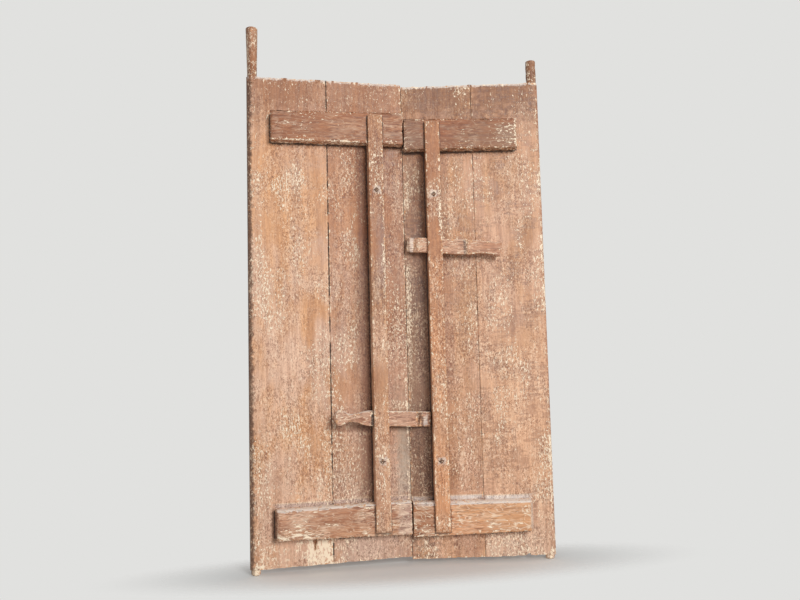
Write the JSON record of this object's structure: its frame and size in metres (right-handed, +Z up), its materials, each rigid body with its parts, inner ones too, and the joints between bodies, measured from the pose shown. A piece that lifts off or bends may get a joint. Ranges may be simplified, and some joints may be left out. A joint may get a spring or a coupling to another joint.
{
  "type": "plank door pair",
  "caption": "Pair of worn, painted plank door leaves on round wooden pivot pins, with battens, tall bars and sliding wooden bolts that lock the leaves together.",
  "frame": {"origin": "foot of the right leaf's lower pivot pin, on its axis", "axes": "+Z up along the pivots, +X along the line from the left pivot to the right one, -Y out of the inside face that carries the battens and bolts"},
  "size_m": [1.067, 0.1122, 1.915],
  "materials": {
    "left_boards": "worn red-brown paint over old cream, matt",
    "right_boards": "worn mauve-brown paint with saw marks, matt",
    "battens": "worn brick-red paint, matt",
    "bars": "worn paint, handled and satin",
    "bolts": "worn paint, handled and satin",
    "dowels": "bare wood",
    "nails": "forged, rusted"
  },
  "bodies": {
    "right_leaf": {"right_pivot_board": "right_boards", "right_inner_board": "right_boards", "right_top_batten": "battens", "right_bottom_batten": "battens", "right_bar": "bars", "right_dowel_1": "dowels", "right_dowel_2": "dowels", "right_dowel_3": "dowels", "right_bar_nail_lower": "nails", "right_bar_nail_upper": "nails", "right_top_batten_nail_1": "nails", "right_top_batten_nail_2": "nails", "right_top_batten_nail_3": "nails", "right_top_batten_nail_4": "nails", "right_bottom_batten_nail_1": "nails", "right_bottom_batten_nail_2": "nails", "right_bottom_batten_nail_3": "nails", "right_bottom_batten_nail_4": "nails"},
    "left_leaf": {"left_pivot_board": "left_boards", "left_inner_board": "left_boards", "left_top_batten": "battens", "left_bottom_batten": "battens", "left_bar": "bars", "left_dowel_1": "dowels", "left_dowel_2": "dowels", "left_dowel_3": "dowels", "left_bar_nail_lower": "nails", "left_bar_nail_upper": "nails", "left_top_batten_nail_1": "nails", "left_top_batten_nail_2": "nails", "left_top_batten_nail_3": "nails", "left_top_batten_nail_4": "nails", "left_bottom_batten_nail_1": "nails", "left_bottom_batten_nail_2": "nails", "left_bottom_batten_nail_3": "nails", "left_bottom_batten_nail_4": "nails"},
    "lower_bolt": {"lower_bolt": "bolts"},
    "upper_bolt": {"upper_bolt": "bolts"}
  },
  "joints": [
    {"name": "left_leaf_swing", "type": "hinge", "parent": "right_leaf", "child": "left_leaf", "pos_m": [-1.0256, 0, 0], "axis": [0, 0, -1], "range_deg": [0, 100]},
    {"name": "lower_bolt_slide", "type": "slide", "parent": "left_leaf", "child": "lower_bolt", "axis": [0.9964, 0.0639, -0.0558], "range_m": [-0.082, 0.007]},
    {"name": "upper_bolt_slide", "type": "slide", "parent": "right_leaf", "child": "upper_bolt", "axis": [-0.9951, 0.07, 0.0698], "range_m": [-0.02, 0.086]}
  ]
}
